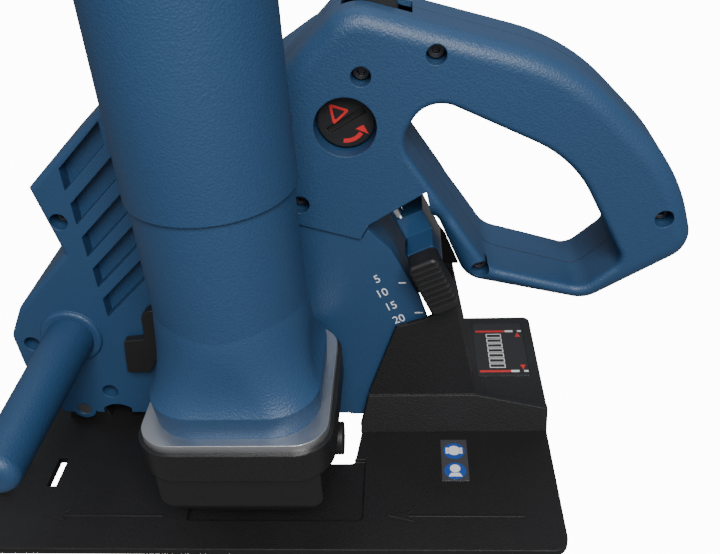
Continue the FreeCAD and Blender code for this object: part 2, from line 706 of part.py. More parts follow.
def toothed(blank, heel, count, first_angle):
    tooth = bevel_tooth(heel, TOOTH_WIDTH * 1.45, TOOTH_WIDTH * 0.62)
    teeth = []
    for k in range(count):
        copy = tooth.copy()
        copy.rotate(Vector(0, 0, 0), Vector(0, 0, 1), first_angle + 360.0 * k / count)
        teeth.append(copy)
    return blank.multiFuse(teeth)


def revolve_z(profile):
    face = Part.Face(wire(profile, lambda r, z: Vector(r, 0, z)))
    return face.revolve(Vector(0, 0, 0), Vector(0, 0, 1), 360)


def gear_heels():
    """Heel root and tip of a crown tooth and of a pinion tooth, as (radial, axial) pairs."""
    pinion_r = CROWN_PITCH_R * PINION_TEETH / CROWN_TEETH
    length = math.hypot(CROWN_PITCH_R, pinion_r)
    cr = pinion_r / length
    ca = CROWN_PITCH_R / length
    crown_root = (CROWN_PITCH_R - (DEDENDUM + TOOTH_SINK) * cr, pinion_r + (DEDENDUM + TOOTH_SINK) * ca)
    crown_tip = (CROWN_PITCH_R + ADDENDUM * cr, pinion_r - ADDENDUM * ca)
    pinion_root = (pinion_r - (DEDENDUM + TOOTH_SINK) * ca, CROWN_PITCH_R + (DEDENDUM + TOOTH_SINK) * cr)
    pinion_tip = (pinion_r + ADDENDUM * ca, CROWN_PITCH_R - ADDENDUM * cr)
    return (crown_root, crown_tip), (pinion_root, pinion_tip)


def crown_wheel():
    heel, _ = gear_heels()
    slope = (heel[0][1] - TOOTH_SINK) / heel[0][0]
    blank = revolve_z([(SPINDLE_R, 8.0 * slope + 1), (14.0, 14.0 * slope), (22.8, 22.8 * slope), (23.4, 10.5),
                       (23.4, 13.5), (13.0, 15.0), (13.0, 21.0), (SPINDLE_R, 21.0)])
    wheel = toothed(blank, heel, CROWN_TEETH, 0.0)
    # turn the wheel's axis from +Z to +Y with a tooth straight above the spindle
    wheel.rotate(Vector(0, 0, 0), Vector(0, 0, 1), 90)
    wheel.rotate(Vector(0, 0, 0), Vector(1, 0, 0), -90)
    wheel.translate(Vector(SPINDLE_X, MOTOR_Y, SPINDLE_Z))
    return wheel


def pinion():
    _, heel = gear_heels()
    slope = (heel[0][0] + TOOTH_SINK) / heel[0][1]
    top = CROWN_PITCH_R + 0.8
    blank = revolve_z([(SHAFT_NOSE_R, 15.2), (15.2 * slope, 15.2), (top * slope, top), (6.4, top + 1.2),
                       (6.4, 28.0), (SHAFT_NOSE_R, 28.0)])
    wheel = toothed(blank, heel, PINION_TEETH, 90.0 + 180.0 / PINION_TEETH)
    wheel.translate(Vector(MOTOR_X, MOTOR_Y, SPINDLE_Z))
    return wheel


def armature():
    shaft = rod_z(MOTOR_X, MOTOR_Y, SPINDLE_Z + 28, 203.0, SHAFT_R)
    nose = rod_z(MOTOR_X, MOTOR_Y, SPINDLE_Z + 14.5, SPINDLE_Z + 28, SHAFT_NOSE_R)
    core = rod_z(MOTOR_X, MOTOR_Y, 106, 154, ARMATURE_R)
    for k in range(16):
        groove = box(ARMATURE_R - 2.0, -0.8, 105, ARMATURE_R + 1, 0.8, 155)
        groove.rotate(Vector(0, 0, 0), Vector(0, 0, 1), 22.5 * k)
        groove.translate(Vector(MOTOR_X, MOTOR_Y, 0))
        core = core.cut(groove)
    ends = rod_z(MOTOR_X, MOTOR_Y, 100, 160, 14.0)
    return shaft.multiFuse([nose, core, ends])


def fan():
    hub = tube_z(MOTOR_X, MOTOR_Y, 84, 97, 9.0, SHAFT_R)
    disc = tube_z(MOTOR_X, MOTOR_Y, 84, 86, 26.0, SHAFT_R)
    blades = []
    for k in range(12):
        blade = box(8.5, -0.8, 85.5, 25.5, 0.8, 95)
        blade.rotate(Vector(8.5, 0, 0), Vector(0, 0, 1), 25)
        blade.rotate(Vector(0, 0, 0), Vector(0, 0, 1), 30 * k)
        blade.translate(Vector(MOTOR_X, MOTOR_Y, 0))
        blades.append(blade)
    return hub.multiFuse([disc] + blades).common(rod_z(MOTOR_X, MOTOR_Y, 83, 98, 26.0))


def commutator():
    drum = tube_z(MOTOR_X, MOTOR_Y, 166, 182, 12.0, SHAFT_R)
    for k in range(24):
        gap = box(10.5, -0.25, 165, 13, 0.25, 183)
        gap.rotate(Vector(0, 0, 0), Vector(0, 0, 1), 15 * k)
        gap.translate(Vector(MOTOR_X, MOTOR_Y, 0))
        drum = drum.cut(gap)
    return drum


def stator():
    bore = ARMATURE_R + AIR_GAP
    ring = tube_z(MOTOR_X, MOTOR_Y, 106, 154, STATOR_R, bore)
    side = box(MOTOR_X - 8, MOTOR_Y - 40, 105, MOTOR_X + 8, MOTOR_Y + 40, 155)
    relief = rod_z(MOTOR_X, MOTOR_Y, 105, 155, STATOR_R - 3.5).common(side)
    return ring.cut(relief)


def field_coils():
    coils = []
    for sign in (-1, 1):
        coil_y = MOTOR_Y + sign * COIL_R
        slot = box(MOTOR_X - 7, coil_y - 2.0, 103, MOTOR_X + 7, coil_y + 2.0, 157)
        coils.append(slot)
    return coils


def ball_bearing_z(z0, z1, r_out, r_in):
    mid = (r_out + r_in) / 2
    height = z1 - z0
    groove = Part.makeTorus(mid, height * 0.28, Vector(MOTOR_X, MOTOR_Y, (z0 + z1) / 2))
    outer = tube_z(MOTOR_X, MOTOR_Y, z0, z1, r_out, mid + height * 0.16).cut(groove)
    inner = tube_z(MOTOR_X, MOTOR_Y, z0, z1, mid - height * 0.16, r_in).cut(groove)
    balls = []
    for k in range(8):
        a = math.radians(45 * k)
        centre = Vector(MOTOR_X + mid * math.cos(a), MOTOR_Y + mid * math.sin(a), (z0 + z1) / 2)
        balls.append(Part.makeSphere(height * 0.27, centre))
    return outer, inner, balls


def roller_brackets():
    """Two cheeks at each roller that hold its axle above the plate."""
    cheeks = []
    for x, y in ROLLERS:
        for side in (-1, 1):
            y0 = y + side * (ROLLER_LENGTH / 2 + 2.2) - 1.2
            cheek = box(x - 5.5, y0, PLATE_T, x + 5.5, y0 + 2.4, ROLLER_R + AXLE_R + 2.2)
            cheeks.append(cheek.cut(rod_y(x, ROLLER_R, y0 - 1, y0 + 4, AXLE_R)))
    return cheeks


# ---- all pieces -----------------------------------------------------------------------------
# base assembly
def base_plate():
    plate = box(PLATE_FRONT_X, PLATE_NEAR_Y, 0, PLATE_REAR_X, PLATE_FAR_Y, PLATE_T)
    upright = [e for e in plate.Edges if abs(e.Vertexes[0].Z - e.Vertexes[1].Z) > 1]
    plate = plate.makeFillet(PLATE_CORNER_R, upright)
    window = slab_z([(WINDOW_FRONT_X, GEAR_WINDOW_NEAR_Y, 3.0), (WINDOW_REAR_X, GEAR_WINDOW_NEAR_Y, 3.0),
                     (WINDOW_REAR_X + 5.5, -SLOT_HALF_WIDTH), (SLOT_REAR_X, -SLOT_HALF_WIDTH, 4.0),
                     (SLOT_REAR_X, SLOT_HALF_WIDTH, 4.0), (SLOT_FRONT_X, SLOT_HALF_WIDTH, 4.0),
                     (SLOT_FRONT_X, -SLOT_HALF_WIDTH, 4.0), (WINDOW_FRONT_X, -SLOT_HALF_WIDTH)], -1, PLATE_T + 1)
    tray = slab_z([(TRAY_FRONT_X, TRAY_NEAR_Y, 2.0), (TRAY_REAR_X, TRAY_NEAR_Y, 2.0),
                   (TRAY_REAR_X, GEAR_WINDOW_NEAR_Y + 1), (TRAY_FRONT_X, GEAR_WINDOW_NEAR_Y + 1)],
                  PLATE_T - TRAY_DEPTH, PLATE_T + 1)
    plate = plate.cut(window).cut(tray)
    plate = plate.cut(box(SIGHT_X - SIGHT_W / 2, SIGHT_Y - SIGHT_LENGTH / 2, -1,
                          SIGHT_X + SIGHT_W / 2, SIGHT_Y + SIGHT_LENGTH / 2, PLATE_T + 1))
    for x, y in ROLLERS:
        plate = plate.cut(box(x - ROLLER_R - 0.5, y - ROLLER_LENGTH / 2 - 0.8, -1,
                              x + ROLLER_R + 0.5, y + ROLLER_LENGTH / 2 + 0.8, PLATE_T + 1))
    return plate


def pivot_ears():
    ears = []
    for y in EAR_Y:
        ear = slab_y([(-12, PLATE_T), (12, PLATE_T), (PIVOT_EAR_R * 0.95, PIVOT_Z + 3, 4),
                      (4, PIVOT_Z + PIVOT_EAR_R, 4), (-4, PIVOT_Z + PIVOT_EAR_R, 4),
                      (-PIVOT_EAR_R * 0.95, PIVOT_Z + 3, 4)], y, y + PIVOT_EAR_T)
        ears.append(ear.cut(rod_y(0, PIVOT_Z, y - 1, y + PIVOT_EAR_T + 1, PIVOT_PIN_R + PIVOT_FIT)))
    return ears


def tower():
    front = slab_y([(155.5, PLATE_T), (220, PLATE_T), (218.0, 26.0), (207.0, 85.0, 3.0), (191.0, 76.0, 8.0),
                    (177.0, 71.5, 3.0), (161.5, 28.0)], TOWER_FACE_Y, TOWER_FACE_Y + TOWER_WALL)
    rear_wall = slab_y([(215.0, PLATE_T), (220, PLATE_T), (218.0, 26.0), (207.0, 85.0), (204.2, 83.5),
                        (215.0, 26.0)], TOWER_FACE_Y + TOWER_WALL, TOWER_BACK_Y)
    back = slab_y([(197.0, PLATE_T), (220, PLATE_T), (218.0, 26.0), (207.0, 85.0), (197.0, 80.0)],
                  TOWER_BACK_Y - TOWER_WALL, TOWER_BACK_Y)
    band = slab_x([(BAND_FOOT_Y, PLATE_T), (TOWER_FACE_Y - 1.0, 26.5), (TOWER_FACE_Y + 1, 26.5),
                   (TOWER_FACE_Y + 1, PLATE_T)], 156.0, PLATE_REAR_X)
    band = band.cut(slab_y([(140, PLATE_T - 1), (155.5, PLATE_T - 1), (161.5, 28.0), (140, 28.0)],
                           BAND_FOOT_Y - 1, -40))
    over = slab_y([(218.0, 26.5), (PLATE_REAR_X + 1, LABEL_TOP_Z + 1.0), (PLATE_REAR_X + 1, 40), (218.0, 40)],
                  BAND_FOOT_Y - 1, -40)
    band = band.cut(over)
    deck = box(216.0, TOWER_FACE_Y, PLATE_T, PLATE_REAR_X, PLATE_FAR_Y - 3, LABEL_TOP_Z)
    corner = [e for e in deck.Edges if abs(e.Vertexes[0].Z - e.Vertexes[1].Z) > 1
              and e.BoundBox.XMin > PLATE_REAR_X - 1 and e.BoundBox.YMin > 0]
    deck = deck.makeFillet(4.0, corner)
    deck = deck.cut(box(219.0, TOWER_FACE_Y + WALL, PLATE_T - 1, PLATE_REAR_X - WALL, PLATE_FAR_Y - 6,
                        LABEL_TOP_Z - WALL))
    deck = deck.cut(box(LABEL_X0, LABEL_Y0, LABEL_TOP_Z - 0.6, LABEL_X1, LABEL_Y1, LABEL_TOP_Z + 1))
    return front.multiFuse([rear_wall, back, band, deck])


def rod_bracket():
    column = box(197.6, ROD_NEAR_Y - 5, PLATE_T, 212.0, ROD_FAR_Y + 5, 62.0)
    head = rod_block(-18.0, 12.0, -8.5, 6.0, ROD_NEAR_Y - 5, ROD_FAR_Y + 5)
    rear = slab_y([(214.7, PLATE_T), (240.0, PLATE_T), (240.0, 110.0), (199.0, 110.0), (214.7, 26.0)],
                  ROD_NEAR_Y - 6, ROD_FAR_Y + 6)
    bracket = column.fuse(head).cut(rear)
    for y in (ROD_NEAR_Y, ROD_FAR_Y):
        bracket = bracket.cut(guide_rod(y, ROD_R, 0, 20))
    return bracket


def spine():
    return slab_y([(198.0, PLATE_T), (211.5, PLATE_T), (211.5, 38.0), (203.4, 84.0), (203.4, 86.0), (210.0, 86.0),
                   (203.0, 104.0, 4), (192.0, 121.0, 2), (189.0, 117.0, 2), (200.0, 84.0)],
                  SPINE_Y, SPINE_Y + SPINE_T)


def depth_carriage():
    high = CARRIAGE_LOW + CARRIAGE_LENGTH
    block = rod_block(CARRIAGE_LOW, high, -1.2, 12.5, ROD_NEAR_Y - 4.2, ROD_FAR_Y + 4.2)
    lug = rod_block(CARRIAGE_LOW, CARRIAGE_LOW + 6, -5.5, 2.0, ROD_NEAR_Y - 4.2, ROD_FAR_Y + 4.2)
    neck = rod_block(CARRIAGE_LOW + 2, CARRIAGE_LOW + 14, -0.5, 12.5, KNOB_FAR_Y, ROD_NEAR_Y - 4.0)
    corners = [e for e in block.Edges if e.BoundBox.YMax - e.BoundBox.YMin > 15]
    carriage = block.makeFillet(2.5, corners[:2]).multiFuse([lug, neck])
    for y in (ROD_NEAR_Y, ROD_FAR_Y):
        carriage = carriage.cut(guide_rod(y, ROD_R + ROD_FIT, CARRIAGE_LOW - 2, high + 2))
    return carriage


def depth_knob():
    knob = rod_block(KNOB_LOW, KNOB_LOW + KNOB_LENGTH, -1.5, 13.5, KNOB_NEAR_Y, KNOB_FAR_Y)
    sides = [e for e in knob.Edges if e.BoundBox.YMax - e.BoundBox.YMin > 5]
    knob = knob.makeFillet(3.0, sides)
    knob = knob.makeFillet(1.8, edges_at_y(knob, KNOB_NEAR_Y, lambda x, z: True))
    for k in range(RIB_COUNT):
        t = KNOB_LOW + 5.0 + k * RIB_PITCH
        knob = knob.cut(rod_block(t, t + RIB_PITCH * 0.5, -3, 15, KNOB_NEAR_Y - 1, KNOB_NEAR_Y + 1.3))
    return knob


def front_handle():
    root = Vector(HANDLE_X, GUARD_FACE_Y - 2.0, HANDLE_Z)
    bar = Part.makeCone(HANDLE_R, HANDLE_R - 1.6, HANDLE_LENGTH, root,
                        Vector(0, -1, 0))
    end = [e for e in bar.Edges if e.BoundBox.YMax < GUARD_FACE_Y - HANDLE_LENGTH]
    bar = bar.makeFillet(6.0, end)
    return bar.cut(rod_y(HANDLE_X, HANDLE_Z, GUARD_FACE_Y - 42, GUARD_FACE_Y, STUD_R))


def return_spring():
    coil = Part.makeHelix(SPRING_PITCH, SPRING_PITCH * SPRING_TURNS, SPRING_R)
    start = Vector(SPRING_R, 0, 0)
    section = Part.Wire(Part.makeCircle(SPRING_WIRE_R, start, Vector(0, 1, 0.05)))
    spring = Part.Wire(coil).makePipeShell([section], True, False)
    spring.rotate(Vector(0, 0, 0), Vector(1, 0, 0), -90)
    spring.translate(Vector(0, SPRING_Y, PIVOT_Z))
    return spring


def coin_cap():
    face = FACE_Y + CAP_DEPTH
    disc = rod_y(CAP_X, CAP_Z, face, face + 3.0, CAP_R)
    stem = rod_y(CAP_X, CAP_Z, face + 3.0, CUP_FLOOR_Y + 0.4, CAP_STEM_R)
    cap = disc.fuse(stem)
    groove = box(-9.5, face - 1, -1.5, 9.5, face + 1.8, 1.5)
    groove.rotate(Vector(0, 0, 0), Vector(0, 1, 0), -COIN_SLOT_ANGLE)
    groove.translate(Vector(CAP_X, 0, CAP_Z))
    return cap.cut(groove)


def switch_button():
    path = [(SWITCH_X - 8, 222.0), (SWITCH_X - 8, 233.0, 2), (SWITCH_X - 1, 238.5, 2), (SWITCH_X + 8, 231.5, 1.5),
            (SWITCH_X + 10, 222.0)]
    body = slab_y(path, SWITCH_Y - SWITCH_W / 2, SWITCH_Y + SWITCH_W / 2)
    foot = box(SWITCH_X - 3, SWITCH_Y - 4, 219.5, SWITCH_X + 3, SWITCH_Y + 4, 223.0)
    return body.fuse(foot)


def lever():
    """Thumb lever: hub, arm and a square tab towards the front."""
    hub = rod_y(LEVER_X, LEVER_Z, GUARD_FACE_Y - LEVER_T, GUARD_FACE_Y - 0.4, 6.0)
    tab = slab_y([(LEVER_X - 5.5, LEVER_Z + 3), (LEVER_X + 3.5, LEVER_Z + 3), (LEVER_X + 2, LEVER_Z - 16),
                  (LEVER_X - 8, LEVER_Z - 34, 1.5), (LEVER_X - 20.5, LEVER_Z - 34, 1.5),
                  (LEVER_X - 18, LEVER_Z - 13, 1.5), (LEVER_X - 7, LEVER_Z - 12)],
                 GUARD_FACE_Y - LEVER_T, GUARD_FACE_Y - 2.0)
    pin = rod_y(LEVER_X, LEVER_Z, GUARD_FACE_Y - 0.5, GUARD_FACE_Y + WALL + 2, LEVER_PIN_R)
    return hub.multiFuse([tab, pin])


# base body
keep("base_plate", base_plate())
group("pivot_ears", pivot_ears())
keep("guide_tower", tower())
keep("rod_bracket", rod_bracket())
keep("rod_cover", spine())
group("guide_rods", [guide_rod(y, ROD_R, 0, ROD_LENGTH) for y in (ROD_NEAR_Y, ROD_FAR_Y)])
keep("return_spring", return_spring())
keep("groove_width_label", box(LABEL_X0, LABEL_Y0, LABEL_TOP_Z - 0.6, LABEL_X1, LABEL_Y1, LABEL_TOP_Z - 0.1))
keep("base_sticker", box(STICKER_X0, STICKER_Y0, PLATE_T, STICKER_X1, STICKER_Y1, PLATE_T + 0.2))

for name, (x, y) in zip(ROLLER_NAMES, ROLLERS):
    roller = rod_y(x, ROLLER_R, y - ROLLER_LENGTH / 2, y + ROLLER_LENGTH / 2, ROLLER_R)
    keep(name, roller.cut(rod_y(x, ROLLER_R, y - 20, y + 20, AXLE_R + 0.05)))

# plunging body: housing
keep("handle_shell_near", handle_shell_near())
keep("handle_shell_far", handle_shell_far())
keep("guard_shell_near", guard_shell_near())
keep("guard_shell_far", guard_shell_far())
keep("disc_hood", disc_hood())
keep("pivot_pin", rod_y(0, PIVOT_Z, GUARD_FACE_Y + 0.5, FAR_Y - 0.5, PIVOT_PIN_R))
keep("front_handle", front_handle())
keep("handle_stud", rod_y(HANDLE_X, HANDLE_Z, GUARD_FACE_Y - 41.5, -29.5, STUD_R))
upper_head_y = FACE_Y + RECESS_DEPTH - HEAD_T
lower_head_y = GUARD_FACE_Y + RECESS_DEPTH - HEAD_T
group("housing_screws", [torx_screw_y(x, z, upper_head_y, SCREW_LENGTH) for x, z in UPPER_SCREWS])
group("guard_screws", [torx_screw_y(x, z, lower_head_y, SCREW_LENGTH - 6) for x, z in LOWER_SCREWS])
keep("switch_module", box(SWITCH_X + 0.5, SWITCH_Y - 9, 188.0, SWITCH_X + 12, SWITCH_Y + 9, 219.0))

# plunging body: motor and gear case
keep("motor_housing", motor_housing())
keep("motor_sleeve", sleeve())
keep("motor_flange", motor_flange())
keep("gear_case", gear_case())
group("flange_screws", [screw_z(x, y, FOOT_Z + 3.0, 16.0, FLANGE_SCREW_R)
                        for x, y in corner_spots(FLANGE_SCREW_HALF)])
keep("stator", stator())
group("field_coils", field_coils())
lower_outer, lower_inner, lower_balls = ball_bearing_z(RING_TOP_Z + 1.5, RING_TOP_Z + 11, LOWER_BEARING_R, SHAFT_R)
upper_outer, upper_inner, upper_balls = ball_bearing_z(193.0, 200.0, UPPER_BEARING_R, SHAFT_R)
group("armature_bearing_races", [lower_outer, upper_outer])
group("armature_bearing_balls", lower_balls + upper_balls)
keep("spindle_bearing_rear",
     tube_y(SPINDLE_X, SPINDLE_Z, BEARING_Y0, BEARING_Y0 + 12, SPINDLE_BEARING_R, 9.6))
keep("spindle_bearing_front",
     tube_y(SPINDLE_X, SPINDLE_Z, MOTOR_Y - 31, MOTOR_Y - 22.5, NEEDLE_R, NEEDLE_BORE_R))
keep("bearing_retainer",
     tube_y(SPINDLE_X, SPINDLE_Z, BEARING_Y0 + 12, BEARING_Y0 + 15, SPINDLE_BEARING_R, 11.0))
brush_boxes = []
brushes = []
caps = []
for sign in (-1, 1):
    y_in = MOTOR_Y + sign * 13.0
    y_out = MOTOR_Y + sign * 29.0
    low, high = min(y_in, y_out), max(y_in, y_out)
    holder = box(MOTOR_X - 5.5, low, 168.5, MOTOR_X + 5.5, high, 179.5)
    brush_boxes.append(holder.cut(box(MOTOR_X - 3.5, low - 1, 170.5, MOTOR_X + 3.5, high + 1, 177.5)))
    b_in = MOTOR_Y + sign * 12.3
    b_out = MOTOR_Y + sign * 24.0
    brushes.append(box(MOTOR_X - 3.5, min(b_in, b_out), 170.5, MOTOR_X + 3.5, max(b_in, b_out), 177.5))
group("brush_holders", brush_boxes)
group("carbon_brushes", brushes)
keep("speed_electronics", box(MOTOR_X - 22, MOTOR_Y - 14, 215.0, MOTOR_X + 22, MOTOR_Y + 14, 238.0))
keep("cable_gland", tube_z(MOTOR_X, MOTOR_Y, SLEEVE_TOP_Z - 9, SLEEVE_TOP_Z + 3, CABLE_GLAND_R, CABLE_BORE_R))

# turning parts
keep("armature", armature())
keep("cooling_fan", fan())
keep("commutator", commutator())
group("armature_bearing_inner_races", [lower_inner, upper_inner])
keep("pinion", pinion())
spindle_core = rod_y(SPINDLE_X, SPINDLE_Z, MOTOR_Y + 3, BEARING_Y0 + 12.2, SPINDLE_R)
journal = rod_y(SPINDLE_X, SPINDLE_Z, MOTOR_Y - 31, MOTOR_Y + 3, NEEDLE_BORE_R - SPINDLE_FIT)
spindle_core = spindle_core.fuse(journal)
spindle_core = spindle_core.fuse(rod_y(SPINDLE_X, SPINDLE_Z, BEARING_Y0 + 12.2, STACK_NEAR_Y - 4, 9.5))
spindle_core = spindle_core.fuse(rod_y(SPINDLE_X, SPINDLE_Z, STACK_NEAR_Y - 4, ARBOR_END_Y, ARBOR_R))
keep("spindle", spindle_core)
keep("crown_wheel", crown_wheel())
keep("clamping_flange", tube_y(SPINDLE_X, SPINDLE_Z, STACK_NEAR_Y - 4, STACK_NEAR_Y, FLANGE_R, ARBOR_R))
spacers = []
for k in range(SPACER_COUNT):
    y = STACK_NEAR_Y + k * SPACER_T
    spacers.append(tube_y(SPINDLE_X, SPINDLE_Z, y + 0.05, y + SPACER_T - 0.05, FLANGE_R - 2, ARBOR_R))
group("spacer_rings", spacers)
nut_y = STACK_NEAR_Y + SPACER_COUNT * SPACER_T
nut = tube_y(SPINDLE_X, SPINDLE_Z, nut_y, nut_y + 7.0, FLANGE_R - 1, ARBOR_R)
for k in range(4):
    a = math.radians(45 + 90 * k)
    x = SPINDLE_X + 16 * math.cos(a)
    z = SPINDLE_Z + 16 * math.sin(a)
    nut = nut.cut(rod_y(x, z, nut_y + 3, nut_y + 8, 2.2))
keep("clamping_nut", nut)

# controls
keep("coin_slot_cap", coin_cap())
keep("power_switch_button", switch_button())
keep("latch_lever", lever())
lock = rod_x(MOTOR_X + LOCK_FACE + 2.4, MOTOR_X + LOCK_FACE + 8.0, LOCK_Y, LOCK_Z, LOCK_BUTTON_R)
lock = lock.fuse(rod_x(MOTOR_X + 27.5, MOTOR_X + LOCK_FACE + 3, LOCK_Y, LOCK_Z, 3.0))
keep("spindle_lock_button", lock)
keep("depth_carriage", depth_carriage())
keep("depth_knob", depth_knob())
group("roller_axles", [rod_y(x, ROLLER_R, y - ROLLER_LENGTH / 2 - 3, y + ROLLER_LENGTH / 2 + 3, AXLE_R)
                       for x, y in ROLLERS])
group("roller_brackets", roller_brackets())

for name, shape in NODES.items():
    if not shape.isValid():
        print("invalid", name)
    shape.exportStep("parts/" + name + ".step")
print(len(NODES), "nodes")
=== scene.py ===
import bpy
import bmesh
import json
import math
from mathutils import Matrix, Vector


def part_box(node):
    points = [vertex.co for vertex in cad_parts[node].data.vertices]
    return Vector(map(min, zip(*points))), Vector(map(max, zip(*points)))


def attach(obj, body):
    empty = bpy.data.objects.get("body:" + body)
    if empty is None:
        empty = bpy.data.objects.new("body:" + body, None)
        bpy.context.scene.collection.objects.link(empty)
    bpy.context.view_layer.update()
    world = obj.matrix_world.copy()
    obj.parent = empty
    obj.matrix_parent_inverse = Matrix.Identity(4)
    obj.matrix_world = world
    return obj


# Looks of the wall chaser.  Metres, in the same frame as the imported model: X from the plunge pivot
# to the D-handle, Y along the spindle with the motor on the -Y side, Z up from the sole.

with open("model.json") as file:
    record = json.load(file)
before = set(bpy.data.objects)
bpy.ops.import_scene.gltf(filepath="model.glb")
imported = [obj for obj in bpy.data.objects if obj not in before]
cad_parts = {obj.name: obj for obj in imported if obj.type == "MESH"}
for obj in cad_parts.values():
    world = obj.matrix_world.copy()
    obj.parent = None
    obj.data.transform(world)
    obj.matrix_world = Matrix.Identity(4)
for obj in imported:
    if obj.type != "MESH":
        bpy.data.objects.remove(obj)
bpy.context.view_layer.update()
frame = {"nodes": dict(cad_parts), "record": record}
NODES = frame["nodes"]

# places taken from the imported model
CAP_LOW, CAP_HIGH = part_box("coin_slot_cap")
LABEL_LOW, LABEL_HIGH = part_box("groove_width_label")
STICKER_LOW, STICKER_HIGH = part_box("base_sticker")
CAP_CENTRE_X = (CAP_LOW[0] + CAP_HIGH[0]) / 2
CAP_CENTRE_Z = (CAP_LOW[2] + CAP_HIGH[2]) / 2
CAP_FACE_Y = CAP_LOW[1]
LABEL_TOP_Z = LABEL_HIGH[2]
STICKER_TOP_Z = STICKER_HIGH[2]
PLATE_TOP_Z = STICKER_LOW[2]

# places and sizes of this object's own printed and raised marks
GUARD_FACE_Y = -0.0455
PARTING_Y = -0.023
PRINT_T = 0.00012
PRINT_SINK = 0.00003
NUMBER_SIZE = 0.0064
NUMBER_TILT = 22
ARROW_HEIGHT = 0.0005
NO_SEAM = 9.0

# view and light
LENS = 40.55
CAMERA_PLACE = (0.187, -0.3756, 0.322)
CAMERA_RIGHT = (0.9976, 0.0460, -0.0526)
CAMERA_UP = (0.0180, 0.5586, 0.8293)
CAMERA_BACK = (0.0674, -0.8282, 0.5564)
SKY_STRENGTH = 0.35
SEEN_SKY_STRENGTH = 14.0
FLOOR_GLOW = 13.0
FLOOR_Z = -0.0006


# ---- materials ------------------------------------------------------------------------------
def new_group(name, inputs, outputs):
    tree = bpy.data.node_groups.new(name, "ShaderNodeTree")
    for label, kind, value in inputs:
        socket = tree.interface.new_socket(name=label, in_out="INPUT", socket_type=kind)
        socket.default_value = value
    for label, kind in outputs:
        tree.interface.new_socket(name=label, in_out="OUTPUT", socket_type=kind)
    return tree, tree.nodes.new("NodeGroupInput"), tree.nodes.new("NodeGroupOutput")


def math_node(tree, operation, a, b):
    node = tree.nodes.new("ShaderNodeMath")
    node.operation = operation
    for socket, value in zip(node.inputs, (a, b)):
        if isinstance(value, (int, float)):
            socket.default_value = value
        else:
            tree.links.new(value, socket)
    return node.outputs[0]


def mix_colour(tree, factor, a, b, blend="MIX"):
    node = tree.nodes.new("ShaderNodeMix")
    node.data_type = "RGBA"
    node.blend_type = blend
    for socket, value in ((node.inputs[0], factor), (node.inputs[6], a), (node.inputs[7], b)):
        if isinstance(value, (int, float, tuple)):
            socket.default_value = value
        else:
            tree.links.new(value, socket)
    return node.outputs[2]


def noise(tree, vector, scale, detail, roughness=0.5):
    node = tree.nodes.new("ShaderNodeTexNoise")
    node.inputs["Scale"].default_value = scale
    node.inputs["Detail"].default_value = detail
    node.inputs["Roughness"].default_value = roughness
    tree.links.new(vector, node.inputs["Vector"])
    return node.outputs[0]


def ramp(tree, value, low, high):
    node = tree.nodes.new("ShaderNodeMapRange")
    node.inputs["From Min"].default_value = low
    node.inputs["From Max"].default_value = high
    node.clamp = True
    tree.links.new(value, node.inputs["Value"])
    return node.outputs[0]


